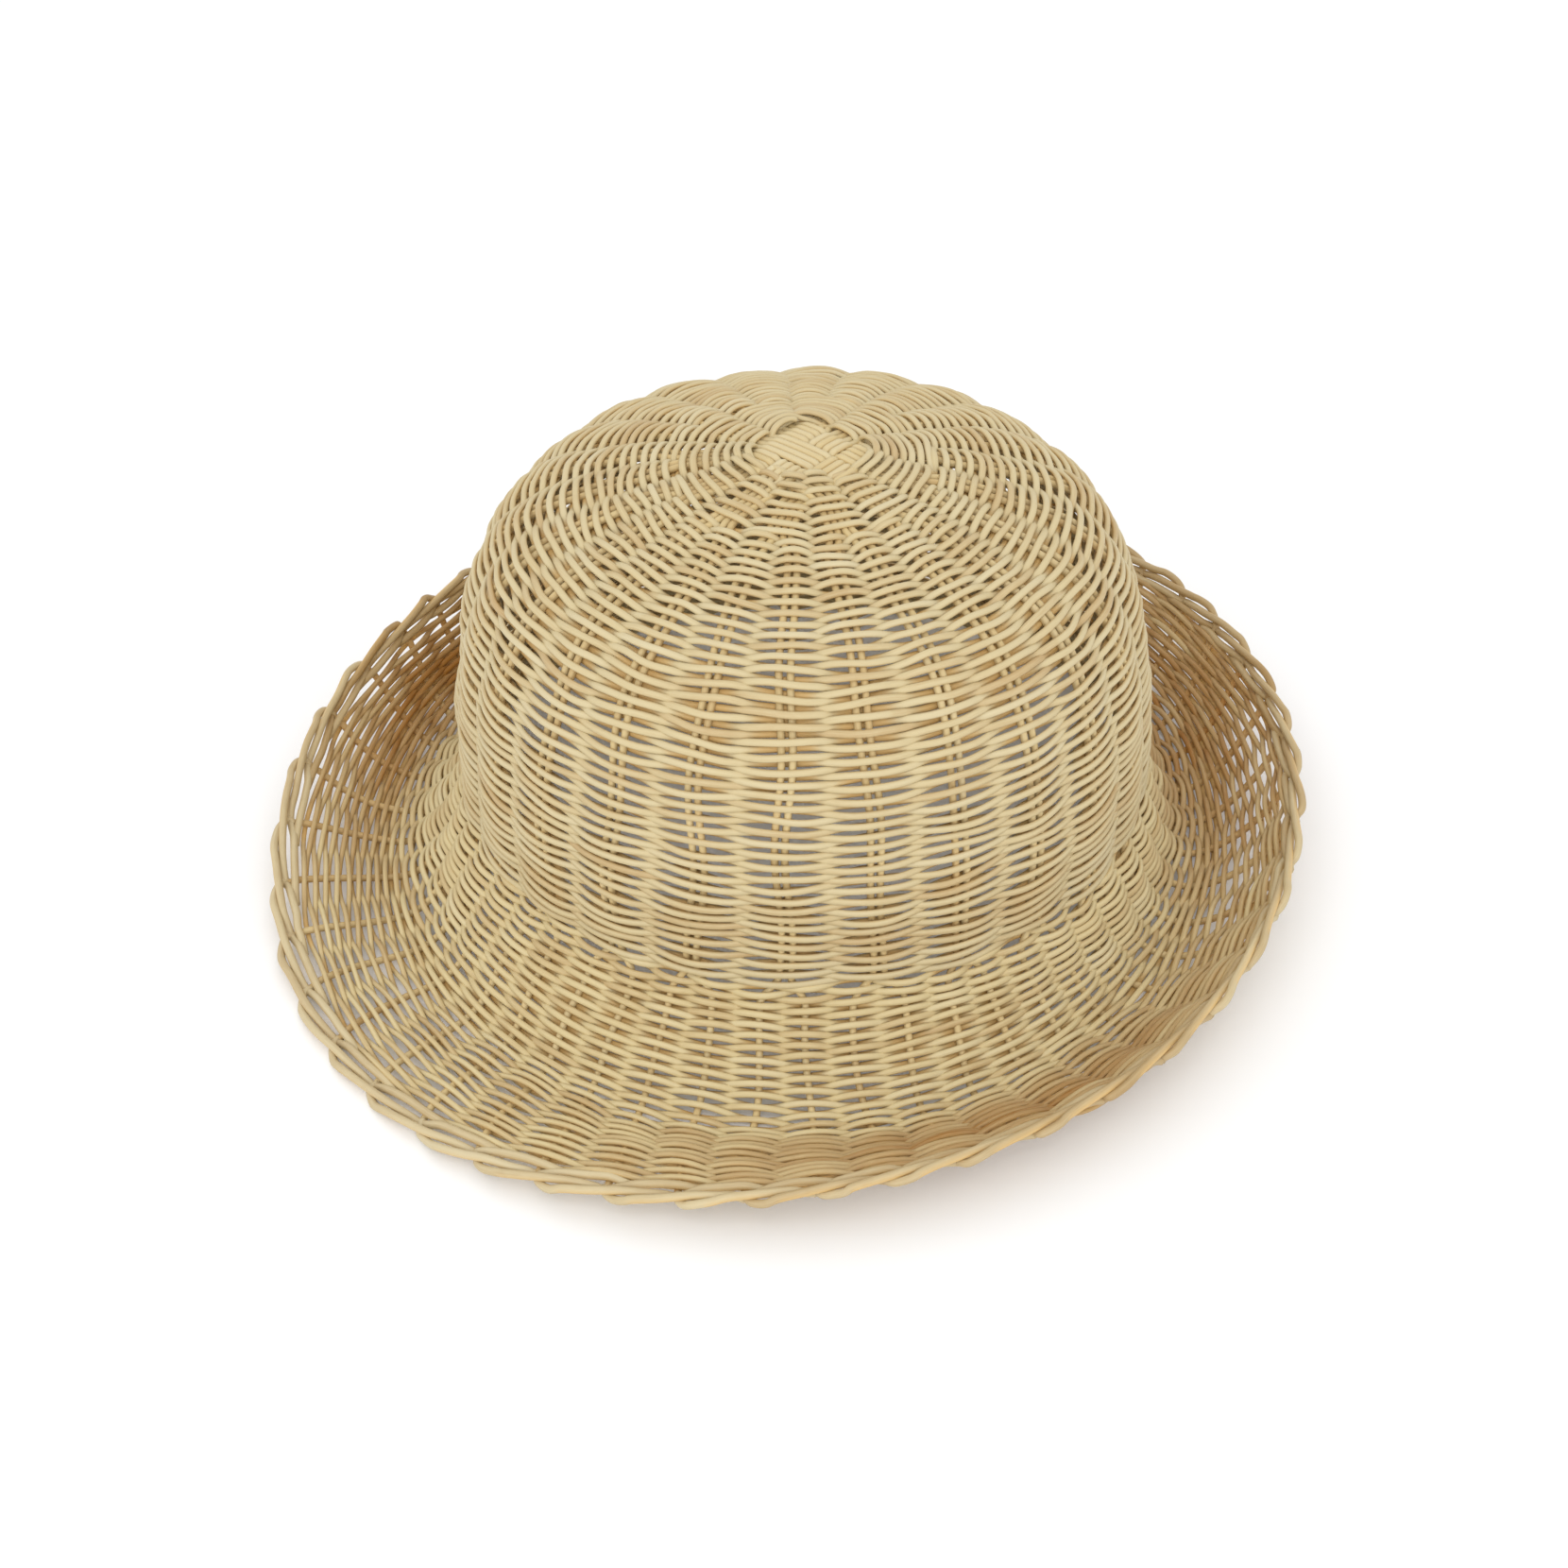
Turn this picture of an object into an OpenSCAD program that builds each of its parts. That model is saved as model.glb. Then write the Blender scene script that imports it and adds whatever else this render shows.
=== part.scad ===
// Woven cane hat: a round dome crown and a brim that flares, dips and curls up again.
// The origin is the middle of the head opening, at the foot of the plain weaving of the crown wall.
// The front of the hat faces -Y. Azimuths are degrees from the front towards +X.

/* [Crown] */
// Length along the crown, from its centre down to the crease
crown_arc = 160; // [148:0.5:170]
// Slope below level at each fraction of that length: a flat top, a round shoulder, a straight wall
crown_slopes = [
    [0, 0], [0.14, 9], [0.28, 16.5], [0.42, 22], [0.56, 61], [0.7, 81.5], [0.8, 81.5], [0.88, 90], [1, 90]];

/* [Brim] */
// Length across the brim, from the crease to the border
brim_arc = 70; // [64:0.5:74]
// Slope below level at each fraction of that length, before the hand-shaped waves are added
brim_slopes = [[0, 74], [0.1, 57.5], [0.21, 54], [0.39, 46], [0.58, -20], [0.77, -37], [1, -44]];
// Depth of the lowest ring of the brim under the crease
brim_drop = 25.5; // [22:0.5:28]
// How far the brim's waves turn its edge up or down, 1 for the full shape
brim_wave = 1; // [0:0.05:1]

/* [Cane] */
// Thickness of a stake, the cane that runs from rim to rim
stake_d = 1.8; // [1.4:0.1:2]
// Thickness of a weaver, the cane that runs round the hat
weaver_d = 1.5; // [1.2:0.1:1.6]
// Thickness of the rolled border at the rim
border_d = 4.3; // [3.6:0.1:5]
// Azimuth of the front crossing between two groups of stakes
front_turn = 4; // [-7.5:0.5:7.5]
// Degrees by which the stakes crowd together towards the front
crowding = 3; // [0:0.5:5]

/* [Hidden] */
groups = 12;               // groups of stakes round the crown
group_size = 4;            // stakes in one group
stake_count = groups * group_size / 2;
group_step = 360 / groups;
pair_step = group_step / 2;
single_step = pair_step / 2;
cane_pitch = stake_d + 0.1;            // spacing of canes lying side by side
pair_pitch = 2.8;                      // spacing of the two canes of a pair
knot_cane = 2.25;                      // spacing of canes in the centre crossing
knot_pitch = group_size * knot_cane;   // and of the groups there
knot_end = knot_pitch * 1.5;           // where a stake leaves the centre crossing
knot_bend = 0.8;                       // half the length in which a stake there goes from over to under
knot_az = front_turn + 1.5 * group_step;
knot_gap = 0.1;                        // gap between crossing stakes there
knot_shift = 2.3;                      // how far the crossing sits off the pole, along knot_az
shift_fade = [12, 34];                 // arc lengths between which the stakes come back from that shift
// Whether each group that runs along knot_az lies over (1) or under (-1) the three that it crosses
knot_over = [[1, -1, 1], [1, 1, -1], [1, -1, 1]];
layer_in = stake_d / 2 + 0.35;         // from the middle of the weave to the near side of a layer
layer_out = stake_d / 2 + weaver_d + 0.05; // and to its far side
cap_start = knot_end + 6.5;            // first row of the centre weaving
close_up = [14, 24];                   // arc lengths between which the canes of a group close up
pair_start = 34;                       // where the groups part into pairs
part_pairs = [pair_start - 4, pair_start + 6];
part_singles = [crown_arc - 2, crown_arc + 6];
upper_end = 97;                        // foot of the upper weaving
wale_h = 4;                            // height of the crease wale
wale_start = crown_arc - wale_h;
brim_turn = 0.45;                      // fraction of the brim just inside its lowest ring
curl_power = 1.6;                      // how late the brim's curl sets in
droop_end = 0.2;                       // fraction of the brim at which its droop is full
brim_weave_end = 0.965;                // fraction of the brim where the plain rows stop
lean_start = crown_arc + 20;           // where the stakes start to lean over to one side
lean_length = 32;                      // further on, they lean by the whole of lean()
crowding_fade = 0.8;                   // how much of the crowding is gone at the rim
seam = 0.2;                            // gap between two bands of weaving
rest_flat = 0.6;                       // how much of the lowest ring is flattened to stand on
crown_sides = 96;
azimuth_steps = 48;
crown_step = 1;
crown_cell = 5;                        // length of one facet of the crown's weaving
pole_part = 1 / 3;                     // fraction of the crown whose height is looked up by radius
brim_stations = 32;
stake_sides = 5;
arm_rings = 22;
arm_end_gap = 0.5;                     // from a stake's end to the middle of the rim
inner_brim_cells = 6;
outer_brim_cells = 9;
border_sides = 8;
eps = 0.01;
cane_colour = [0.87, 0.79, 0.6];
weaver_colour = [0.84, 0.75, 0.54];
brim_colour = [0.78, 0.67, 0.44];
border_colour = [0.82, 0.79, 0.66];

function two_digits(i) = str(i < 10 ? "0" : "", i);
function stake_name(i) = str("stake_", two_digits(i));

function smooth(a, b, x) = let (t = min(1, max(0, (x - a) / (b - a)))) t * t * (3 - 2 * t);
function unit(v) = v / norm(v);

// ---- Crown line, in the plane through the axis: [arc length, radius, height] ----
function crown_slope(s) = lookup(s / crown_arc, crown_slopes);
crown_steps = ceil(crown_arc / crown_step);
crown_ds = crown_arc / crown_steps;
crown_fall = [for (i = 0, r = 0, d = 0; i <= crown_steps;
    a = crown_slope((i + 0.5) * crown_ds),
    r = r + crown_ds * cos(a),
    d = d + crown_ds * sin(a),
    i = i + 1) [i * crown_ds, r, d]];
crown_h = crown_fall[crown_steps][2];
crown_r = crown_fall[crown_steps][1];
crease_z = -wale_h - seam;
radius_by_arc = [for (p = crown_fall) [p[0], p[1]]];
height_by_arc = [for (p = crown_fall) [p[0], crease_z + crown_h - p[2]]];
height_by_radius = [for (p = crown_fall) if (p[0] < crown_arc * pole_part)
    [p[1], crease_z + crown_h - p[2]]];

// ---- Brim line at one azimuth: the same three values, with the arc length from the crease ----
function brim_curl(az) = brim_wave * (34 * cos(az - 151) + 39.5 * cos(2 * az - 115) + 6.5 * cos(3 * az + 50));
function brim_droop(az) = brim_wave * (6 * cos(az - 82) + 19 * cos(2 * az - 152));
function brim_slope(x, az) =
    lookup(x, brim_slopes) - brim_curl(az) * pow(x, curl_power) + brim_droop(az) * min(1, x / droop_end);
brim_ds = brim_arc / brim_stations;
function brim_fall(az) = [for (i = 0, r = crown_r, z = crease_z; i <= brim_stations;
    a = brim_slope((i + 0.5) / brim_stations, az),
    r = r + brim_ds * cos(a),
    z = z - brim_ds * sin(a),
    i = i + 1) [i * brim_ds, r, z]];
lowest_z = crease_z - brim_drop;
function levelled(line) =
    let (low = min([for (p = line) p[2]]))
    [for (p = line) [p[0], p[1], p[2] - (low - lowest_z) * smooth(0, brim_turn * brim_arc, p[0])]];
function brim_line(az) = levelled(brim_fall(az));

// ---- Middle of the weave at arc length s and azimuth az: [radius, height, slope] ----
function crown_at(s) = [lookup(s, radius_by_arc), lookup(s, height_by_arc), crown_slope(s)];
function brim_at(s, az) =
    let (line = brim_line(az),
         r = [for (p = line) [p[0], p[1]]],
         z = [for (p = line) [p[0], p[2]]],
         h = brim_ds / 2)
    [lookup(s, r), lookup(s, z),
     atan2(lookup(s - h, z) - lookup(s + h, z), lookup(s + h, r) - lookup(s - h, r))];
function weave_at(s, az) = s <= crown_arc ? crown_at(s) : brim_at(s - crown_arc, az);
function off_surface(p, d) = [p[0] + d * sin(p[2]), p[1] + d * cos(p[2])];
function turned(rz, az) = [rz[0] * sin(az), -rz[0] * cos(az), rz[1]];
function surface_point(s, az, d) = turned(off_surface(weave_at(s, az), d), az);

// ---- Closed meshes ----
// A loop of closed rings, each with the same number of points, joined end to start
function loop_faces(rings, sides) = [
    for (i = [0:rings - 1], j = [0:sides - 1])
        let (k = (i + 1) % rings, l = (j + 1) % sides)
            each [[i * sides + j, k * sides + j, k * sides + l],
                  [i * sides + j, k * sides + l, i * sides + l]]];
// The same for an open tube, with a fan over each end
function tube_faces(rings, sides) = concat(
    [for (i = [0:rings - 2], j = [0:sides - 1])
        let (l = (j + 1) % sides)
            each [[i * sides + j, (i + 1) * sides + j, (i + 1) * sides + l],
                  [i * sides + j, (i + 1) * sides + l, i * sides + l]]],
    [for (j = [1:sides - 2]) [0, j, j + 1]],
    [for (j = [1:sides - 2]) let (e = (rings - 1) * sides) [e, e + j + 1, e + j]]);

// ---- Stakes ----
// How far a stake lies from the middle of its group, in degrees, at arc length s
function stake_spread(k, s, r) =
    let (j = k - (group_size - 1) / 2,
         side = sign(j),
         degrees = 180 / PI / r,
         closed_up = smooth(close_up[0], close_up[1], s),
         as_group = j * (knot_cane + (cane_pitch - knot_cane) * closed_up) * degrees,
         as_pair = side * pair_step / 2 + (j - side) * pair_pitch * degrees,
         as_single = j * single_step,
         parted = as_group + (as_pair - as_group) * smooth(part_pairs[0], part_pairs[1], s))
    parted + (as_single - parted) * smooth(part_singles[0], part_singles[1], s);
// On the brim the stakes lean over towards the side that the border turns to, by an uneven number of degrees
function lean(az) = 2.35 + 1.7 * cos(az - 127) + 1.2 * cos(2 * az + 111) + 1.1 * cos(3 * az + 124);
function crowded(az, s) =
    az - crowding * sin(az) * (1 - crowding_fade * smooth(crown_arc, crown_arc + brim_arc, s))
    + lean(az) * max(0, s - lean_start) / lean_length;
// Whether a stake of group m lies over (1) or under (-1) the group j that it crosses
function knot_side(crossing, m, j) = crossing == 0 ? knot_over[m + 1][j + 1] : -knot_over[j + 1][1 - m];
// Its height over the middle of the crossing, at distance x along it
function knot_lift(crossing, m, x) =
    let (h = knot_pitch / 2, w = knot_bend,
         a = knot_side(crossing, m, -1),
         b = knot_side(crossing, m, 0),
         c = knot_side(crossing, m, 1))
    (stake_d / 2 + knot_gap) * lookup(x, [
        [-3 * h, 0], [w - 3 * h, a], [-h - w, a], [w - h, b],
        [h - w, b], [h + w, c], [3 * h - w, c], [3 * h, 0]]);
function knot_point(x, y, main_az, lift) =
    let (px = x * sin(main_az) + y * cos(main_az) + knot_shift * sin(knot_az),
         py = -x * cos(main_az) + y * sin(main_az) - knot_shift * cos(knot_az))
    [px, py, lookup(norm([px, py]), height_by_radius) + lift];
// Near the pole the stakes follow the crossing, which sits a little off it
function off_centre(s, az) =
    let (reach = knot_shift * (1 - smooth(shift_fade[0], shift_fade[1], s)))
    [s + reach * cos(az - knot_az), az - reach * sin(az - knot_az) / s * 180 / PI];
function arm_s(i) = cap_start + (crown_arc + brim_arc - arm_end_gap - cap_start) * i / (arm_rings - 1);
function arm_points(main_az, m, k, end) = [for (i = [0:arm_rings - 1])
    let (s = arm_s(i),
         r = weave_at(s, main_az)[0],
         base = main_az + (end > 0 ? 0 : 180) + end * m * group_step,
         at = off_centre(s, crowded(base + end * stake_spread(k, s, r), s)))
    [surface_point(at[0], at[1], 0), end * [cos(at[1]), sin(at[1]), 0]]];
function knot_points(crossing, main_az, m, k) =
    let (y = m * knot_pitch + (k - (group_size - 1) / 2) * knot_cane,
         edge = knot_pitch / 2,
         xs = [-3 * edge, knot_bend - 3 * edge, -edge - knot_bend, -edge, knot_bend - edge, 0,
               edge - knot_bend, edge, edge + knot_bend, 3 * edge - knot_bend, 3 * edge])
    [for (x = xs) [knot_point(x, y, main_az, knot_lift(crossing, m, x)), [cos(main_az), sin(main_az), 0]]];
function reversed(v) = [for (i = [len(v) - 1:-1:0]) v[i]];
function swept(path, radius, sides) = [for (i = [0:len(path) - 1])
    let (p = path[i][0],
         t = unit(path[min(i + 1, len(path) - 1)][0] - path[max(i - 1, 0)][0]),
         side = unit(path[i][1] - t * (path[i][1] * t)),
         top = cross(side, t))
    for (j = [0:sides - 1]) p + radius * (cos(360 * j / sides) * top + sin(360 * j / sides) * side)];

// One stake, from rim to rim: twelve run one way over the centre and twelve run the other
module stake(i) {
    crossing = floor((i - 1) / (stake_count / 2));
    within = (i - 1) % (stake_count / 2);
    m = floor(within / group_size) - 1;
    k = within % group_size;
    main_az = knot_az + 90 * crossing;
    path = concat(
        reversed(arm_points(main_az, m, k, -1)),
        knot_points(crossing, main_az, m, k),
        arm_points(main_az, m, k, 1));
    color(cane_colour)
        polyhedron(swept(path, stake_d / 2, stake_sides), tube_faces(len(path), stake_sides), convexity = 6);
}

// ---- Weaving: an outer and an inner layer with the stakes between them ----
straight_start = crown_slopes[len(crown_slopes) - 2][0] * crown_arc;
function crown_stations(s0, s1) =
    let (bend_end = min(s1, straight_start), n = ceil((bend_end - s0) / crown_cell))
    s0 > straight_start ? [s0, s1] :
    concat([for (i = [0:n]) s0 + (bend_end - s0) * i / n], s1 > bend_end ? [s1] : []);
module crown_layer(s0, s1, d0, d1) {
    stations = crown_stations(s0, s1);
    rotate_extrude($fn = crown_sides)
        polygon(concat(
            [for (s = stations) off_surface(crown_at(s), d0)],
            reversed([for (s = stations) off_surface(crown_at(s), d1)])));
}
module crown_band(s0, s1) {
    crown_layer(s0, s1, layer_in, layer_out);
    crown_layer(s0, s1, -layer_out, -layer_in);
}

rest_z = lowest_z - layer_out + rest_flat;
function held_up(p) = [p[0], p[1], max(p[2], rest_z)];
module brim_layer(x0, x1, n, d0, d1) {
    stations = [for (i = [0:n]) crown_arc + brim_arc * (x0 + (x1 - x0) * i / n)];
    sides = 2 * (n + 1);
    points = [for (j = [0:azimuth_steps - 1])
        let (az = 360 * j / azimuth_steps)
            each concat(
                [for (s = stations) held_up(surface_point(s, az, d0))],
                reversed([for (s = stations) held_up(surface_point(s, az, d1))]))];
    polyhedron(points, loop_faces(azimuth_steps, sides), convexity = 6);
}
module brim_band(x0, x1, n) {
    brim_layer(x0, x1, n, layer_in, layer_out);
    brim_layer(x0, x1, n, -layer_out, -layer_in);
}

module cap_weave() { color(weaver_colour) crown_band(cap_start, pair_start - seam); }
module upper_weave() { color(weaver_colour) crown_band(pair_start, upper_end - seam); }
module lower_weave() { color(weaver_colour) crown_band(upper_end, wale_start - seam); }
module crease_wale() { color(cane_colour) crown_band(wale_start, crown_arc); }
module inner_brim_weave() { color(weaver_colour) brim_band(seam / brim_arc, brim_turn, inner_brim_cells); }
module outer_brim_weave() {
    color(brim_colour) brim_band(brim_turn + seam / brim_arc, brim_weave_end, outer_brim_cells);
}
module rim_wale() {
    color(border_colour) brim_band(brim_weave_end + seam / brim_arc, 1 - seam / brim_arc, 1);
}
module rim_border() {
    points = [for (j = [0:azimuth_steps - 1])
        let (az = 360 * j / azimuth_steps,
             edge = brim_at(brim_arc - eps, az),
             along = [cos(edge[2]), -sin(edge[2])],
             centre = [edge[0], edge[1]] + along * (border_d / 2 + seam))
            for (q = [0:border_sides - 1])
                let (a = 360 * (q + 0.5) / border_sides)
                held_up(turned(centre + border_d / 2 * [cos(a), sin(a)], az))];
    color(border_colour) polyhedron(points, loop_faces(azimuth_steps, border_sides), convexity = 6);
}

for (i = [1:stake_count]) {
    stake(i);
}
cap_weave();
upper_weave();
lower_weave();
crease_wale();
inner_brim_weave();
outer_brim_weave();
rim_wale();
rim_border();
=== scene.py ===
"""Woven cane hat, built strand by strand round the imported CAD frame.

Lengths here are millimetres until a mesh is made, arc lengths are measured from the crown's pole, and azimuths are
degrees from the front towards +X.
"""

import math

import bpy
import numpy as np
from mathutils import Matrix, Vector


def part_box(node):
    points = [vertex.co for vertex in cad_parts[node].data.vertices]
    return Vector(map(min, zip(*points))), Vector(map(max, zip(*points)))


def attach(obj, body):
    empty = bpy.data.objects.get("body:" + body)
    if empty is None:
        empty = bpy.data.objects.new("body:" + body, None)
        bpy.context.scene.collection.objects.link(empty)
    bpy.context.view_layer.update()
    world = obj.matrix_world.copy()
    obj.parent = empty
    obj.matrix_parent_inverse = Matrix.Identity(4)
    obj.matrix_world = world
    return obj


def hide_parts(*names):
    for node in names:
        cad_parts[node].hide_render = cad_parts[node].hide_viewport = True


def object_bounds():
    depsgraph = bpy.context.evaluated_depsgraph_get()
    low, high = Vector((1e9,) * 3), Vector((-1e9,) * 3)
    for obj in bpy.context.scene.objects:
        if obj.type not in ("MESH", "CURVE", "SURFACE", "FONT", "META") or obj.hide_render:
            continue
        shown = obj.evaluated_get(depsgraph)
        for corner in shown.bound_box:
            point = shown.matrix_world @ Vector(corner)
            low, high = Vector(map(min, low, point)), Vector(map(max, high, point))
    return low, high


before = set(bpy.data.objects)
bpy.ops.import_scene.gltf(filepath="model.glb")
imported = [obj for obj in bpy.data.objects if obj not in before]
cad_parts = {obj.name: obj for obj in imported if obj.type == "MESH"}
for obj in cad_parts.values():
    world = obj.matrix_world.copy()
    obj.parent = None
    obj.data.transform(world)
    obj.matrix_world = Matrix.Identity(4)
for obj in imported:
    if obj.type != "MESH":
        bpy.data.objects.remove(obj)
cad_low, cad_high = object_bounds()

MM = 0.001
RNG = np.random.default_rng(41)

# ---- The hat's middle surface, by the same rules as the CAD source ----
CROWN_ARC, BRIM_ARC = 160.0, 70.0
CREASE_Z, BRIM_DROP = -4.2, 25.5
CROWN_SLOPES = np.array(
    [(0, 0), (0.14, 9), (0.28, 16.5), (0.42, 22), (0.56, 61), (0.7, 81.5), (0.8, 81.5), (0.88, 90), (1, 90)]
)
BRIM_SLOPES = np.array([(0, 74), (0.1, 57.5), (0.21, 54), (0.39, 46), (0.58, -20), (0.77, -37), (1, -44)])
# Waves round the hat: size, how many there are, and that many times the azimuth of a crest
CURL_WAVES = [(34, 1, 151), (39.5, 2, 115), (6.5, 3, -50)]
DROOP_WAVES = [(6, 1, 82), (19, 2, 152)]
CURL_POWER, DROOP_END, LEVEL_END = 1.6, 0.2, 0.45  # how the curl grows, and where droop and drop are complete
CREASE_BEND = 5.0  # half the arc over which the crease is rounded
FRONT_TURN, CROWDING, CROWDING_EASED = 4.0, 3.0, 0.8  # the last is the share of the crowding lost by the rim
GROUP_STEP, PAIR_STEP, SINGLE_STEP = 30.0, 15.0, 7.5
STAKE_AZ = FRONT_TURN - 1.5 * SINGLE_STEP  # azimuth of one of the stakes on the brim
LEAN_START, LEAN_LENGTH, LEAN_MEAN = 180.0, 32.0, 2.35
LEAN_WAVES = [(1.7, 1, 127), (1.2, 2, -111), (1.1, 3, -124)]
STAKE_DIP = 0.8  # how far the stakes drop at the rim to pass under its canes
STAKE_R = 0.97
WEAVER_WIDE, WEAVER_ROUND = 0.98, 0.9  # half width on the crown and on the brim
WEAVER_THICK = 0.7  # half thickness
WEAVER_PRESS = 0.16  # how far a weaver presses into the stakes
OPEN_SIDE = -74.0  # the azimuth at which the brim's canes lie furthest apart
OPEN_RIGHT = 84.0  # and a second, smaller patch of such canes
CANE_PITCH, PAIR_PITCH = 1.9, 2.8
KNOT_PITCH, KNOT_CANE = 9.0, 2.25  # spacing of the crossing groups and of the flattened canes in them
KNOT_AZ = FRONT_TURN + 1.5 * GROUP_STEP  # the first three groups lie along this azimuth at the centre
KNOT_SHIFT = 2.3  # and the crossing sits this far off the pole that way
RIM_END = CROWN_ARC + BRIM_ARC
REST_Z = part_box("outer_brim_weave")[0].z / MM


def smooth(a, b, x):
    t = np.clip((x - a) / (b - a), 0, 1)
    return t * t * (3 - 2 * t)


def sind(a):
    return np.sin(np.radians(a))


def cosd(a):
    return np.cos(np.radians(a))


def around(az, waves, mean=0):
    """A mean value and the waves that go round the hat."""
    return sum((size * cosd(count * az - crest) for size, count, crest in waves), mean)


CROWN_STEPS = 160
_mid = (np.arange(CROWN_STEPS) + 0.5) / CROWN_STEPS
_slope = np.interp(_mid, *CROWN_SLOPES.T)
CROWN_S = np.linspace(0, CROWN_ARC, CROWN_STEPS + 1)
CROWN_R = np.concatenate([[0], np.cumsum(cosd(_slope) * CROWN_ARC / CROWN_STEPS)])
_fall = np.concatenate([[0], np.cumsum(sind(_slope) * CROWN_ARC / CROWN_STEPS)])
CROWN_Z = CREASE_Z + _fall[-1] - _fall

BRIM_STATIONS, BRIM_AZIMUTHS = 64, 360


def brim_grid():
    """Radius, height and slope of the brim's middle surface on a grid of arc length by azimuth."""
    az = np.arange(BRIM_AZIMUTHS + 1) * 360 / BRIM_AZIMUTHS
    x = ((np.arange(BRIM_STATIONS) + 0.5) / BRIM_STATIONS)[:, None]
    curl, droop = around(az, CURL_WAVES), around(az, DROOP_WAVES)
    a = np.interp(x, *BRIM_SLOPES.T) - curl * x**CURL_POWER + droop * np.minimum(1, x / DROOP_END)
    ds = BRIM_ARC / BRIM_STATIONS
    r = CROWN_R[-1] + np.vstack([0 * az, np.cumsum(ds * cosd(a), axis=0)])
    z = CREASE_Z - np.vstack([0 * az, np.cumsum(ds * sind(a), axis=0)])
    s = np.arange(BRIM_STATIONS + 1)[:, None] * ds
    lowest = CREASE_Z - BRIM_DROP
    z = z - (z.min(axis=0) - lowest) * smooth(0, LEVEL_END * BRIM_ARC, s)
    slope = np.degrees(np.arctan2(-np.gradient(z, ds, axis=0), np.gradient(r, ds, axis=0)))
    return r, z, slope


BRIM = brim_grid()


def brim_at(s, az):
    """The brim grid's radius, height and slope at an arc length past the crease and an azimuth."""
    i = np.clip(s / BRIM_ARC * BRIM_STATIONS, 0, BRIM_STATIONS - 1e-6)
    j = np.mod(az, 360) * BRIM_AZIMUTHS / 360
    i0, j0 = i.astype(int), np.minimum(j.astype(int), BRIM_AZIMUTHS - 1)
    u, v = i - i0, j - j0

    def between(g, j):
        return g[i0, j] * (1 - u) + g[i0 + 1, j] * u

    return [between(g, j0) * (1 - v) + between(g, j0 + 1) * v for g in BRIM]


def surface(s, az, d):
    """Points at arc length s, azimuth az and distance d outside the middle surface, and the normals there."""
    s, az, d = (np.asarray(v, float) for v in np.broadcast_arrays(s, az, d))
    on_brim = s > CROWN_ARC
    slope_c = np.interp(s / CROWN_ARC, *CROWN_SLOPES.T)
    r_b, z_b, slope_b = brim_at(s - CROWN_ARC, az)
    r = np.where(on_brim, r_b, np.interp(s, CROWN_S, CROWN_R))
    z = np.where(on_brim, z_b, np.interp(s, CROWN_S, CROWN_Z))
    ease = smooth(-CREASE_BEND, CREASE_BEND, s - CROWN_ARC)
    slope = slope_c * (1 - ease) + slope_b * ease
    past = np.maximum(s - RIM_END, 0)  # beyond the rim, straight on along the brim's last slope
    r, z = r + past * cosd(slope), z - past * sind(slope)
    normal = np.stack([sind(slope) * sind(az), -sind(slope) * cosd(az), cosd(slope)], -1)
    point = np.stack([r * sind(az), -r * cosd(az), z], -1)
    return point + d[..., None] * normal, normal


# ---- Smooth, repeatable unevenness ----
def make_waves(count, s_span, az_span, seed):
    g = np.random.default_rng(seed)
    return (
        g.uniform(*s_span, count) * g.choice([-1, 1], count),
        g.integers(*az_span, count),
        g.uniform(0, 2 * math.pi, count),
    )


def field(waves, s, az):
    """A smooth random value of about unit size at each arc length and azimuth."""
    total = np.zeros(np.broadcast(s, az).shape)
    for ks, ka, phase in zip(*waves):
        total += np.sin(2 * math.pi * s * ks + np.radians(az) * ka + phase)
    return total / math.sqrt(len(waves[0]) / 2)


def ripple(x, wavelength, seed, count=5):
    """A smooth random value of about unit size along x."""
    g = np.random.default_rng(seed)
    lengths = wavelength * g.uniform(0.6, 1.7, count)
    phases = g.uniform(0, 2 * math.pi, count)
    return sum(np.sin(2 * math.pi * x / w + p) for w, p in zip(lengths, phases)) / math.sqrt(count / 2)


ROW_DRIFT = make_waves(10, (1 / 45, 1 / 14), (2, 15), 3)
STAKE_DRIFT = make_waves(8, (1 / 120, 1 / 40), (3, 17), 5)
BULGE = make_waves(8, (1 / 80, 1 / 25), (2, 12), 8)


def patch(s, az, middle, width, inner, outer):
    """1 in a patch of the brim: width degrees to either side of an azimuth, past an arc length."""
    off = np.mod(az - middle + 180, 360) - 180
    return np.exp(-((off / width) ** 2)) * smooth(inner, outer, s)


# Painted shade on the brim: patches that face away from the lamp are made darker
BRIM_SHADE_PATCHES = [
    # How dark the painted shade is, then the patch's middle, width, and inner and outer arc length
    (0.6, 104, 32, 168, 190),  # right
    (0.75, -125, 42, 188, 208),  # back left
    (0.4, 160, 45, 190, 212),  # back
    (0.55, 20, 42, 188, 212),  # upturned front
]


def painted_brim_shade(s, az):
    """Painted shade: how much darker the cane is made where the brim faces away from the lamp, up to 1."""
    return np.minimum(sum(dark * patch(s, az, *where) for dark, *where in BRIM_SHADE_PATCHES), 1)


STAKE_UNEVEN, STAKE_UNEVEN_FROM = 0.35, (20, 50)


def crowded(az, s):
    """The azimuth at which a stake really stands.

    Stakes stand closer together at the front of the crown than at its back. On the brim they lean towards the side
    that the border turns to, and no hand sets them quite evenly.
    """
    crowding = CROWDING * sind(az) * (1 - CROWDING_EASED * smooth(CROWN_ARC, RIM_END, s))
    leaning = around(az, LEAN_WAVES, LEAN_MEAN) * np.maximum(0, s - LEAN_START) / LEAN_LENGTH
    uneven = STAKE_UNEVEN * field(STAKE_DRIFT, s, az) * smooth(*STAKE_UNEVEN_FROM, s)
    return az - crowding + leaning + uneven


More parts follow.
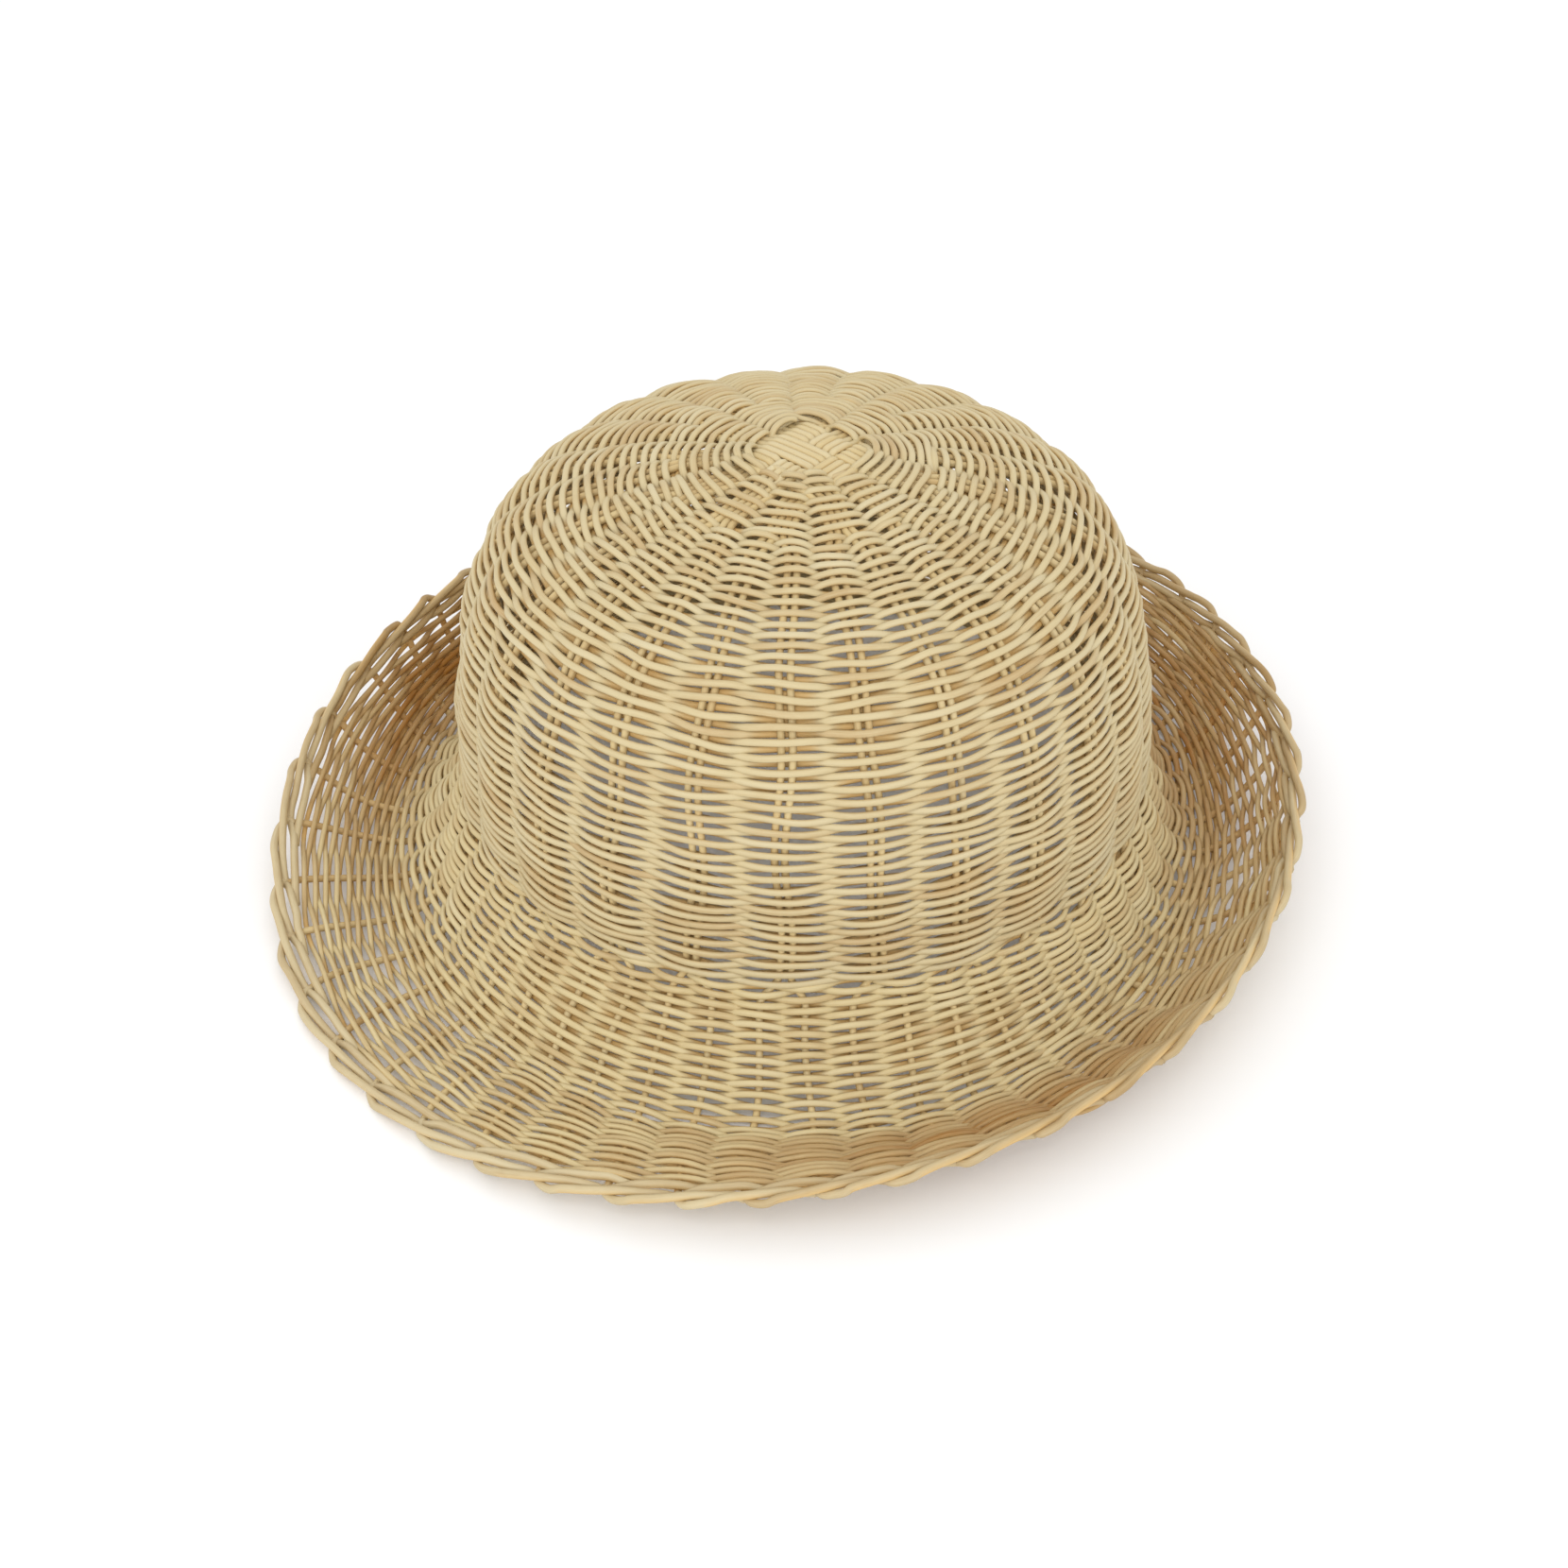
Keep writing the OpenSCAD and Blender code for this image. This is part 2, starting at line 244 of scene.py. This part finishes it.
# ---- Swept cane ----
SIDES = 8  # of each cane's cross-section
FIBRE_SPREAD = 900  # how far apart the canes may lie in the material's noise
SHADE_FADE = (0.2, 0.9)  # painted shade starts on a cane, and is full, at these shares of its full height or depth
SHADE_EDGE = (-0.35, 0.45)  # and the painted side ends between these, where 1 is its middle


class Strands:
    """Gathers swept round canes into one mesh, with what the cane material needs on its points."""

    def __init__(self):
        self.points, self.faces, self.ends, self.count = [], [], [], 0
        self.fibre, self.tone, self.painted_shade = [], [], []

    def add(self, path, up, radius, tone, flat=1.0, over=0.0):
        """One cane along path.

        up holds a direction near each point's outward side, and flat squeezes the cane along it. over is 1 where
        the cane lies on top of the weave and -1 where it lies under it, and its side facing into the weave is given
        painted shade.
        """
        path = np.asarray(path, float)
        n = len(path)
        t = np.gradient(path, axis=0)
        t /= np.linalg.norm(t, axis=1)[:, None]
        side = np.cross(t, up)
        side /= np.linalg.norm(side, axis=1)[:, None]
        top = np.cross(side, t)
        a = 2 * math.pi * np.arange(SIDES) / SIDES
        r = np.broadcast_to(radius, n)
        tall = (top.T * flat).T
        ring = np.cos(a)[None, :, None] * tall[:, None] + np.sin(a)[None, :, None] * side[:, None]
        self.points.append((path[:, None] + r[:, None, None] * ring).reshape(-1, 3))
        i, j = np.meshgrid(np.arange(n - 1), np.arange(SIDES), indexing="ij")
        k = (j + 1) % SIDES
        quads = np.stack([i * SIDES + j, i * SIDES + k, (i + 1) * SIDES + k, (i + 1) * SIDES + j], -1)
        self.faces.append(self.count + quads.reshape(-1, 4))
        self.ends.append(self.count + np.arange(SIDES)[::-1])
        self.ends.append(self.count + (n - 1) * SIDES + np.arange(SIDES))
        along = np.concatenate([[0], np.cumsum(np.linalg.norm(np.diff(path, axis=0), axis=1))])
        start = RNG.uniform(0, FIBRE_SPREAD, 3)
        round_it = np.stack([np.cos(a), np.sin(a)], -1) * float(np.mean(r))
        fibre = np.concatenate([np.repeat(along[:, None, None], SIDES, 1), np.repeat(round_it[None], n, 0)], 2)
        self.fibre.append((fibre + start).reshape(-1, 3))
        self.tone.append(np.repeat(np.broadcast_to(tone, n), SIDES))
        over = np.broadcast_to(over, n)[:, None]
        # Painted shade, as a browner tint, on the side of the cane that faces into the weave
        shade_mask = smooth(*SHADE_FADE, np.abs(over)) * smooth(*SHADE_EDGE, -np.sign(over) * np.cos(a))
        self.painted_shade.append(shade_mask.ravel())
        self.count += n * SIDES

    def build(self, name, material, slot, nodes):
        points = np.concatenate(self.points) * MM
        quads = np.concatenate(self.faces)
        sizes = np.array([4] * len(quads) + [len(e) for e in self.ends], np.int32)
        corners = np.concatenate([quads.ravel(), *self.ends]).astype(np.int32)
        me = bpy.data.meshes.new(name)
        me.vertices.add(len(points))
        me.vertices.foreach_set("co", points.astype(np.float32).ravel())
        me.loops.add(len(corners))
        me.loops.foreach_set("vertex_index", corners)
        me.polygons.add(len(sizes))
        me.polygons.foreach_set("loop_start", np.concatenate([[0], np.cumsum(sizes)[:-1]]).astype(np.int32))
        me.polygons.foreach_set("use_smooth", np.arange(len(sizes)) < len(quads))
        me.update(calc_edges=True)
        fibre = me.attributes.new("fibre", "FLOAT_VECTOR", "POINT")
        fibre.data.foreach_set("vector", np.concatenate(self.fibre).astype(np.float32).ravel())
        # The painted shade goes on the points beside the tone
        for label, values in (("tone", self.tone), ("painted_shade", self.painted_shade)):
            shade = me.attributes.new(label, "FLOAT", "POINT")
            shade.data.foreach_set("value", np.concatenate(values).astype(np.float32))
        me.materials.append(material)
        ob = bpy.data.objects.new(name, me)
        bpy.context.scene.collection.objects.link(ob)
        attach(ob, "root")
        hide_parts(*nodes)
        return ob


# ---- Materials ----
def cane_material(name, dark, mid, light, shade_tint, roughness):
    """Split cane: fibres along it, slow changes of colour along and between canes, painted shade facing into the
    weave.
    """
    m = bpy.data.materials.new(name)
    m.use_nodes = True
    nt = m.node_tree
    nt.nodes.clear()
    new, link = nt.nodes.new, nt.links.new

    def attribute(kind):
        n = new("ShaderNodeAttribute")
        n.attribute_name = kind
        return n

    def noise(vector, scale, detail, rough=0.5):
        mapping = new("ShaderNodeMapping")
        mapping.inputs["Scale"].default_value = scale
        link(vector, mapping.inputs["Vector"])
        n = new("ShaderNodeTexNoise")
        n.inputs["Scale"].default_value = 1.0
        n.inputs["Detail"].default_value = detail
        n.inputs["Roughness"].default_value = rough
        link(mapping.outputs["Vector"], n.inputs["Vector"])
        return n.outputs["Fac"]

    def maths(op, a, b, c=None):
        n = new("ShaderNodeMath")
        n.operation = op
        for socket, value in zip(n.inputs, (a, b, c)):
            if value is None:
                continue
            if isinstance(value, (int, float)):
                socket.default_value = value
            else:
                link(value, socket)
        return n.outputs[0]

    fibre, tone = attribute("fibre").outputs["Vector"], attribute("tone").outputs["Fac"]
    streaks = noise(fibre, (0.05, 3.2, 3.2), 3, 0.6)
    patches = noise(fibre, (0.045, 0.25, 0.25), 3)
    flecks = noise(fibre, (0.35, 2.2, 2.2), 2)

    def centred(value, weight):
        return maths("MULTIPLY_ADD", value, weight, -weight / 2)

    shade = centred(streaks, 0.26)
    shade = maths("ADD", shade, centred(patches, 0.36))
    shade = maths("ADD", shade, centred(flecks, 0.16))
    shade = maths("ADD", shade, maths("MULTIPLY_ADD", tone, 0.5, 0.5))
    ramp = new("ShaderNodeValToRGB")
    e = ramp.color_ramp.elements
    e[0].position, e[0].color = 0.0, (*dark, 1)
    e[1].position, e[1].color = 1.0, (*light, 1)
    middle = e.new(0.5)
    middle.color = (*mid, 1)
    link(shade, ramp.inputs["Fac"])
    mix = new("ShaderNodeMix")
    mix.data_type = "RGBA"
    factor, first, second = mix.inputs[0], mix.inputs[6], mix.inputs[7]
    # Painted shade: mixed towards the browner tint on the sides marked as facing into the weave
    link(maths("MULTIPLY", attribute("painted_shade").outputs["Fac"], 0.9), factor)
    link(ramp.outputs["Color"], first)
    second.default_value = (*shade_tint, 1)
    bump = new("ShaderNodeBump")
    bump.inputs["Strength"].default_value = 0.35
    bump.inputs["Distance"].default_value = 0.0001
    link(maths("ADD", streaks, maths("MULTIPLY", flecks, 0.5)), bump.inputs["Height"])
    shader = new("ShaderNodeBsdfPrincipled")
    link(mix.outputs[2], shader.inputs["Base Color"])
    link(maths("MULTIPLY_ADD", streaks, 0.25, roughness - 0.12), shader.inputs["Roughness"])
    link(bump.outputs["Normal"], shader.inputs["Normal"])
    shader.inputs["Specular IOR Level"].default_value = 0.4
    out = new("ShaderNodeOutputMaterial")
    link(shader.outputs["BSDF"], out.inputs["Surface"])
    return m


def linear(r, g, b):
    """The colour as the shader takes it, from the 0 to 255 values seen on a screen."""
    return tuple(((c / 255 + 0.055) / 1.055) ** 2.4 for c in (r, g, b))


# Browner tint painted as shade on the canes' sides that face into the weave
PAINTED_SHADE_TINT = linear(214, 178, 114)
CROWN_CANE = cane_material(
    "crown_cane", linear(164, 118, 54), linear(199, 182, 140), linear(208, 198, 167), PAINTED_SHADE_TINT, 0.55
)
STAKE_CANE = cane_material(
    "stake_cane", linear(164, 116, 50), linear(202, 180, 130), linear(212, 202, 170), PAINTED_SHADE_TINT, 0.55
)
BRIM_CANE = cane_material(
    "brim_cane", linear(150, 100, 34), linear(204, 186, 140), linear(213, 202, 168), PAINTED_SHADE_TINT, 0.55
)
BORDER_CANE = cane_material(
    "border_cane", linear(152, 114, 56), linear(198, 181, 142), linear(209, 198, 167), PAINTED_SHADE_TINT, 0.52
)


# ---- Stakes: twenty-four canes from rim to rim, woven over and under each other at the centre ----
STAKES, GROUP_SIZE = 24, 4
FLAT_ENDS = (14, 24)  # the arc lengths over which a group's canes turn from flat to round
PAIRS_PART = (30, 40)  # a group parts into two pairs
SINGLES_PART = (CROWN_ARC - 2, CROWN_ARC + 6)  # and a pair into two stakes


def stake_spread(k, s, r):
    """Degrees between the middle of a group and its cane k."""
    j = k - (GROUP_SIZE - 1) / 2
    side = math.copysign(1, j)
    degrees = np.degrees(1 / np.maximum(r, 1))
    as_group = j * (KNOT_CANE + (CANE_PITCH - KNOT_CANE) * smooth(*FLAT_ENDS, s)) * degrees
    as_pair = side * PAIR_STEP / 2 + (j - side) * PAIR_PITCH * degrees
    as_single = j * SINGLE_STEP
    parted = as_group + (as_pair - as_group) * smooth(*PAIRS_PART, s)
    return parted + (as_single - parted) * smooth(*SINGLES_PART, s)


SHIFT_FADE = (12, 34)


def off_centre(s, az):
    """Near the pole everything follows the crossing, which sits a little off it."""
    reach = KNOT_SHIFT * (1 - smooth(*SHIFT_FADE, s))
    return s + reach * cosd(az - KNOT_AZ), az - np.degrees(reach * sind(az - KNOT_AZ) / np.maximum(s, 5))


ARM_START, ARM_STEP = 20.0, 2.0
DIP_SPAN = (RIM_END - 4, RIM_END - 1.5)  # where a stake goes down under the rim's canes
KNOT_END = 1.5 * KNOT_PITCH  # half the length of a stake's stretch through the centre
KNOT_MARGIN, KNOT_POINTS = 1.0, 61
KNOT_GAP = 0.1  # between the two layers of the crossing, added to the stakes' own thickness
MIDDLE_FADE = (10, 20)  # distances from the pole over which stakes lose their look at the crossing
MIDDLE_WIDER, MIDDLE_FLATTER, MIDDLE_PALER = 0.16, 0.22, 0.3
# Whether a group that runs along KNOT_AZ lies over (1) or under (-1) each of the three that it crosses
KNOT_ORDER = np.array([(1, -1, 1), (1, 1, -1), (1, -1, 1)])


def arm_path(main_az, m, k, end):
    """A stake from the crossing to the rim, at one end of it (1) or the other (-1), and the painted shade on it."""
    s = np.linspace(ARM_START, RIM_END - 0.2, int((RIM_END - ARM_START) / ARM_STEP))
    r_brim = brim_at(s - CROWN_ARC, np.full_like(s, main_az))[0]
    r = np.where(s < CROWN_ARC, np.interp(s, CROWN_S, CROWN_R), r_brim)
    base = main_az + (0 if end > 0 else 180) + end * m * GROUP_STEP
    az = crowded(base + end * stake_spread(k, s, r), s)
    under_rim = STAKE_DIP * smooth(*DIP_SPAN, s)
    path, normal = surface(*off_centre(s, az), -under_rim)
    path[:, 2] = np.maximum(path[:, 2], REST_Z + STAKE_R)
    return path, normal, painted_brim_shade(s, az)


def knot_path(crossing, main_az, m, k):
    """A stake's stretch through the centre, and how far it lies over (1) or under (-1) what it crosses."""
    x = np.linspace(-KNOT_END, KNOT_END, KNOT_POINTS)
    y = m * KNOT_PITCH + (k - (GROUP_SIZE - 1) / 2) * KNOT_CANE
    j = np.clip(np.round(x / KNOT_PITCH), -1, 1).astype(int)
    order = KNOT_ORDER[m + 1, j + 1] if crossing == 0 else -KNOT_ORDER[j + 1, 1 - m]
    reach = np.abs(x) < KNOT_END - KNOT_MARGIN
    window = np.hanning(11)[1:-1]
    over = np.convolve(np.pad(order * reach, len(window) // 2, "edge"), window / window.sum(), "valid")
    px, py = x * sind(main_az) + y * cosd(main_az), -x * cosd(main_az) + y * sind(main_az)
    px, py = px + KNOT_SHIFT * sind(KNOT_AZ), py - KNOT_SHIFT * cosd(KNOT_AZ)
    z = np.interp(np.hypot(px, py), CROWN_R, CROWN_Z) + over * (STAKE_R + KNOT_GAP)
    return np.stack([px, py, z], -1), np.tile([0.0, 0.0, 1.0], (len(x), 1)), over


def build_stakes():
    for i in range(STAKES):
        crossing, within = divmod(i, STAKES // 2)
        m, k = within // GROUP_SIZE - 1, within % GROUP_SIZE
        main_az = KNOT_AZ + 90 * crossing
        back, back_up, back_shade = arm_path(main_az, m, k, -1)
        knot, knot_up, over = knot_path(crossing, main_az, m, k)
        out, out_up, out_shade = arm_path(main_az, m, k, 1)
        path = np.concatenate([back[::-1], knot[1:-1], out])
        up = np.concatenate([back_up[::-1], knot_up[1:-1], out_up])
        over = np.concatenate([0 * back[:, 0], over[1:-1], 0 * out[:, 0]])
        along = np.arange(len(path)) * ARM_STEP
        tone = 0.06 * RNG.normal() + 0.08 * ripple(along, 160, 700 + i)
        # Painted shade on the brim darkens the arms, and the stretch through the centre gets none
        tone = tone - np.concatenate([back_shade[::-1], 0 * over[len(back) : -len(out)], out_shade])
        middle = 1 - smooth(*MIDDLE_FADE, np.hypot(path[:, 0], path[:, 1]))
        tone = tone + MIDDLE_PALER * middle
        strands = Strands()
        strands.add(path, up, STAKE_R * (1 + MIDDLE_WIDER * middle), tone, 1 - MIDDLE_FLATTER * middle, over)
        strands.build(f"stake_{i + 1:02d}_cane", STAKE_CANE, "stake_cane", [f"stake_{i + 1:02d}"])


# ---- Weavers: two canes that chase each other round the hat, each over what the other goes under ----
ROW_PITCH = np.array(
    [
        (13, 1.36), (34, 1.42), (45, 1.52), (61, 1.64), (76, 1.7), (97, 1.68), (112, 1.63), (128, 1.5),
        (145, 1.54), (160, 1.52), (170, 1.32), (180, 1.4), (190, 1.5), (205, 1.46), (230, 1.45),
    ]
)
FIRST_ROW, START_FADE = 13.3, 38.0
START_AZ = 180 + FRONT_TURN
START_MEAN, START_WAVES = -1.0, [(-2.75, 1, 0), (1.5, 1, 90), (-0.6, 2, 0), (1.1, 4, 0)]  # first rows, along the arc
CORNER_FADE, CORNER_LIFT, CORNER_FLATTER = (16, 25), 2.4, 0.5  # where they pass the crossing's four corners
ROW_UNEVEN, ROW_UNEVEN_FROM = 0.3, (20, 40)
BULGE_SIZE, BULGE_FROM = 0.25, (30, 60)
# A row's stretches over the stakes lie lower or higher than those under them, which closes or opens the gaps
STAGGER, STAGGER_LENGTH = 0.35, 10
LOOSE_LEFT, LOOSE_RIGHT = (OPEN_SIDE, 38, 192, 206), (OPEN_RIGHT, 24, 196, 206)
LOOSE_FRONT, FRONT_END = (-5, 50, 164, 170), (188, 198)
LOOSE_RIGHT_SHARE, SIDE_STAGGER, FRONT_STAGGER = 0.8, 0.7, 0.8
LOOSE_THINNER = 0.2  # the loose canes at the sides are this much narrower
ROUNDER_SPAN = (CROWN_ARC - 5, CROWN_ARC + 20)
_s = np.linspace(FIRST_ROW, RIM_END, 2000)
_rows = np.concatenate([[0], np.cumsum(np.diff(_s) / np.interp((_s[1:] + _s[:-1]) / 2, *ROW_PITCH.T))])


def turns_at(s):
    """Whole turns that each weaver has made when the weaving reaches arc length s."""
    return round(float(np.interp(s, _s, _rows)) / 2)


def weaver_path(turn0, turn1, which, step, crest, tightness, reach, per_turn):
    """One of the two weavers over whole turns.

    step is the degrees between stakes, crest the azimuth of one of them, tightness how flat the weaver runs over
    them, and reach its distance from the middle surface there.
    """
    theta = np.linspace(turn0, turn1, int(round((turn1 - turn0) * per_turn)) + 1) * 360
    s = np.interp(theta / 180 + which, _rows, _s)
    az = START_AZ + theta
    closing_in = around(az, START_WAVES, START_MEAN) * (1 - smooth(FIRST_ROW, START_FADE, s))
    corner = (0.5 - 0.5 * cosd(4 * (az - KNOT_AZ))) * (1 - smooth(*CORNER_FADE, s))
    wave = (1 if which else -1) * cosd(180 * (az - crest) / step)
    wave = np.tanh(tightness * wave) / math.tanh(tightness)
    along = np.radians(theta) * np.interp(s, CROWN_S, CROWN_R)
    s = s + closing_in + ROW_UNEVEN * field(ROW_DRIFT, s, az) * smooth(*ROW_UNEVEN_FROM, s)
    apart = patch(s, az, *LOOSE_LEFT) + LOOSE_RIGHT_SHARE * patch(s, az, *LOOSE_RIGHT)
    front = patch(s, az, *LOOSE_FRONT) * (1 - smooth(*FRONT_END, s))
    staggered = STAGGER - SIDE_STAGGER * apart - FRONT_STAGGER * front
    staggered = staggered * smooth(CROWN_ARC, CROWN_ARC + STAGGER_LENGTH, s)
    s = s + 0.1 * ripple(along, 26, 50 + which) + staggered * wave
    d = wave * reach * (1 + 0.07 * ripple(along, 31, 60 + which)) + 0.12 * ripple(along, 43, 70 + which)
    bulge = BULGE_SIZE * field(BULGE, s, az) * smooth(*BULGE_FROM, s)
    d = d * (1 - CORNER_FLATTER * corner) + bulge + CORNER_LIFT * corner
    path, normal = surface(s, crowded(az, s), d)
    path[:, 2] = np.maximum(path[:, 2], REST_Z + WEAVER_THICK)
    half = WEAVER_WIDE + (WEAVER_ROUND - WEAVER_WIDE) * smooth(*ROUNDER_SPAN, s) - LOOSE_THINNER * apart
    return path, normal, along, wave * (1 - corner), painted_brim_shade(s, az), half


CANE_LENGTH = (500, 1500)  # the tone changes where one cane ends and the next is let in
BANDS = [
    # CAD node, piece, first and last arc length, degrees between stakes, a stake's azimuth, how flat over them,
    # points per turn
    ("cap_weave", "cap", FIRST_ROW, 34, GROUP_STEP, -11.0, 1.9, 12 * 16),
    ("upper_weave", "upper_crown", 34, 97, PAIR_STEP, -3.5, 0.9, 24 * 13),
    ("lower_weave", "lower_crown", 97, 156, PAIR_STEP, -3.5, 0.8, 24 * 13),
    ("crease_wale", "crease", 156, 160.5, PAIR_STEP, -3.5, 0.8, 24 * 14),
    ("inner_brim_weave", "inner_brim", 160.5, 191.5, SINGLE_STEP, -7.25, 0.5, 48 * 9),
    ("outer_brim_weave", "outer_brim", 191.5, 226.3, SINGLE_STEP, -7.25, 0.5, 48 * 9),
]


def build_weavers():
    reach = STAKE_R + WEAVER_THICK - WEAVER_PRESS
    for node, piece, s0, s1, step, crest, tightness, per_turn in BANDS:
        on_brim = s0 > CROWN_ARC
        material, slot = (BRIM_CANE, "brim_cane") if on_brim else (CROWN_CANE, "crown_cane")
        for which in (0, 1):
            path, normal, along, wave, darker, half = weaver_path(
                turns_at(s0), turns_at(s1), which, step, crest, tightness, reach, per_turn
            )
            joins = np.cumsum(np.random.default_rng(90 + which).uniform(*CANE_LENGTH, 200))
            cane = np.searchsorted(joins, along)
            tone = 0.1 * np.random.default_rng(95 + which).normal(size=400)[cane]
            # darker is the brim's painted shade, where it faces away from the lamp
            tone = tone + 0.08 * ripple(along, 170, 97 + which) - darker
            strands = Strands()
            strands.add(path, normal, half, tone, WEAVER_THICK / half, wave)
            strands.build(f"{piece}_weaver_{'ab'[which]}", material, slot, [node])


# ---- Rim: each stake's end bends over along the edge, outside the next stakes, and is woven back in ----
# Steps past its own place, arc length past the rim, and height over the middle surface
RIM_CANE = np.array(
    [
        (0.00, -1.2, -0.80), (0.02, 0.8, -0.55), (0.10, 2.3, -0.80), (0.28, 3.4, -0.20), (0.48, 3.4, 0.75),
        (0.80, 2.6, 1.20), (1.20, 1.6, 1.25), (1.60, 0.8, 0.90), (1.85, 0.2, 0.00), (2.00, -0.2, -1.00),
        (2.12, -0.5, -0.20), (2.35, -1.1, 0.80), (2.70, -1.7, 1.20), (3.00, -1.9, 1.15), (3.20, -2.1, 0.30),
        (3.40, -2.2, -0.90),
    ]
)
RIM_PART = 9  # the point at which the outer float ends and the inner one begins
RIM_R = 1.1
RIM_CANES, RIM_SPAN_POINTS = 48, 6
RIM_UNEVEN = (0.02, 0.14, 0.07)  # in steps, arc length and height
RIM_LOOSE, RIM_LOOSE_FROM = 0.8, (1.8, 2.4)  # how far the inner float sags inwards on the open side


def curve_through(points, per_span):
    """A smooth curve through a row of points."""
    p = np.vstack([2 * points[0] - points[1], points, 2 * points[-1] - points[-2]])
    t = np.linspace(0, 1, per_span, endpoint=False)[:, None]
    spans = [
        0.5 * (2 * b + (c - a) * t + (2 * a - 5 * b + 4 * c - d) * t**2 + (3 * b - a - 3 * c + d) * t**3)
        for a, b, c, d in zip(p[:-3], p[1:-2], p[2:-1], p[3:])
    ]
    return np.vstack([*spans, points[-1:]])


def build_rim():
    outer, inner = Strands(), Strands()
    for i in range(RIM_CANES):
        base = STAKE_AZ + SINGLE_STEP * i
        shape = RIM_CANE + RNG.normal(size=RIM_CANE.shape) * RIM_UNEVEN
        tone = 0.1 * RNG.normal() + 0.05
        loose = RIM_LOOSE * max(0, cosd(base - OPEN_SIDE)) ** 2
        for strands, part in ((outer, shape[: RIM_PART + 1]), (inner, shape[RIM_PART:])):
            t, out, d = curve_through(part, RIM_SPAN_POINTS).T
            out = out - loose * smooth(*RIM_LOOSE_FROM, t)
            path, normal = surface(RIM_END + out, crowded(base + SINGLE_STEP * t, RIM_END + out), d)
            path[:, 2] = np.maximum(path[:, 2], REST_Z + RIM_R)
            # Painted shade from the brim, at 0.8 of its strength on the rim's canes
            darker = 0.8 * painted_brim_shade(RIM_END + out, base + SINGLE_STEP * t)
            strands.add(path, normal, RIM_R, tone - darker, over=np.clip(d, 0, 1))
    inner.build("rim_wale_canes", BORDER_CANE, "border_cane", ["rim_wale"])
    outer.build("rim_border_loops", BORDER_CANE, "border_cane", ["rim_border"])


build_stakes()
build_weavers()
build_rim()


# ---- Floor, light and camera ----
def plain_material(name, colour, roughness, glow):
    m = bpy.data.materials.new(name)
    m.use_nodes = True
    shader = m.node_tree.nodes["Principled BSDF"]
    shader.inputs["Base Color"].default_value = (*colour, 1)
    shader.inputs["Roughness"].default_value = roughness
    shader.inputs["Specular IOR Level"].default_value = 0.1
    shader.inputs["Emission Color"].default_value = (*colour, 1)
    shader.inputs["Emission Strength"].default_value = glow
    return m


def build_stage():
    """A pale floor under the hat, an even white sky, and one large soft lamp in front of it. In metres."""
    half, z = 6.0, cad_low.z
    me = bpy.data.meshes.new("floor")
    me.from_pydata([(-half, -half, z), (half, -half, z), (half, half, z), (-half, half, z)], [], [(0, 1, 2, 3)])
    floor = bpy.data.objects.new("floor", me)
    me.materials.append(plain_material("floor_paper", (0.85, 0.85, 0.85), 0.9, 0.1))
    bpy.context.scene.collection.objects.link(floor)

    world = bpy.data.worlds.new("studio")
    world.use_nodes = True
    world.node_tree.nodes["Background"].inputs["Color"].default_value = (1, 1, 1, 1)
    world.node_tree.nodes["Background"].inputs["Strength"].default_value = 1.05
    bpy.context.scene.world = world

    place, aim = Vector((-0.15, -1.5, 1.25)), Vector((0, 0, 0.03))
    lamp = bpy.data.lights.new("key_light", "AREA")
    lamp.energy, lamp.size = 14, 1.8
    ob = bpy.data.objects.new("key_light", lamp)
    ob.location = place
    ob.rotation_euler = (aim - place).to_track_quat("-Z", "Y").to_euler()
    bpy.context.scene.collection.objects.link(ob)


def build_camera():
    """The photograph's view, from the front and above, aimed at the middle of the crease."""
    elevation, distance, roll = 37.7, 0.8, -0.57  # degrees, metres, degrees
    sensor, picture_wide = 36, 0.43342  # millimetres, and the metres that the picture spans at the crease
    shift_x, shift_y = -0.012771, -0.016265  # shares of the picture's width
    e = math.radians(elevation)
    aim = Vector((0, 0, CREASE_Z * MM))
    back = Vector((0, -math.cos(e), math.sin(e)))
    right = Vector((1, 0, 0))
    up = back.cross(right)
    cam = bpy.data.objects.new("camera", bpy.data.cameras.new("camera"))
    turn = Matrix((right, up, back)).transposed() @ Matrix.Rotation(math.radians(roll), 3, "Z")
    cam.matrix_world = Matrix.Translation(aim + back * distance) @ turn.to_4x4()
    cam.data.sensor_width = sensor
    cam.data.lens = sensor * distance / picture_wide
    cam.data.shift_x, cam.data.shift_y = shift_x, shift_y
    cam.data.clip_start, cam.data.clip_end = 0.01, 50
    bpy.context.scene.collection.objects.link(cam)
    bpy.context.scene.camera = cam


build_stage()
build_camera()
bpy.context.scene.view_settings.view_transform = "Standard"
bpy.context.view_layer.update()
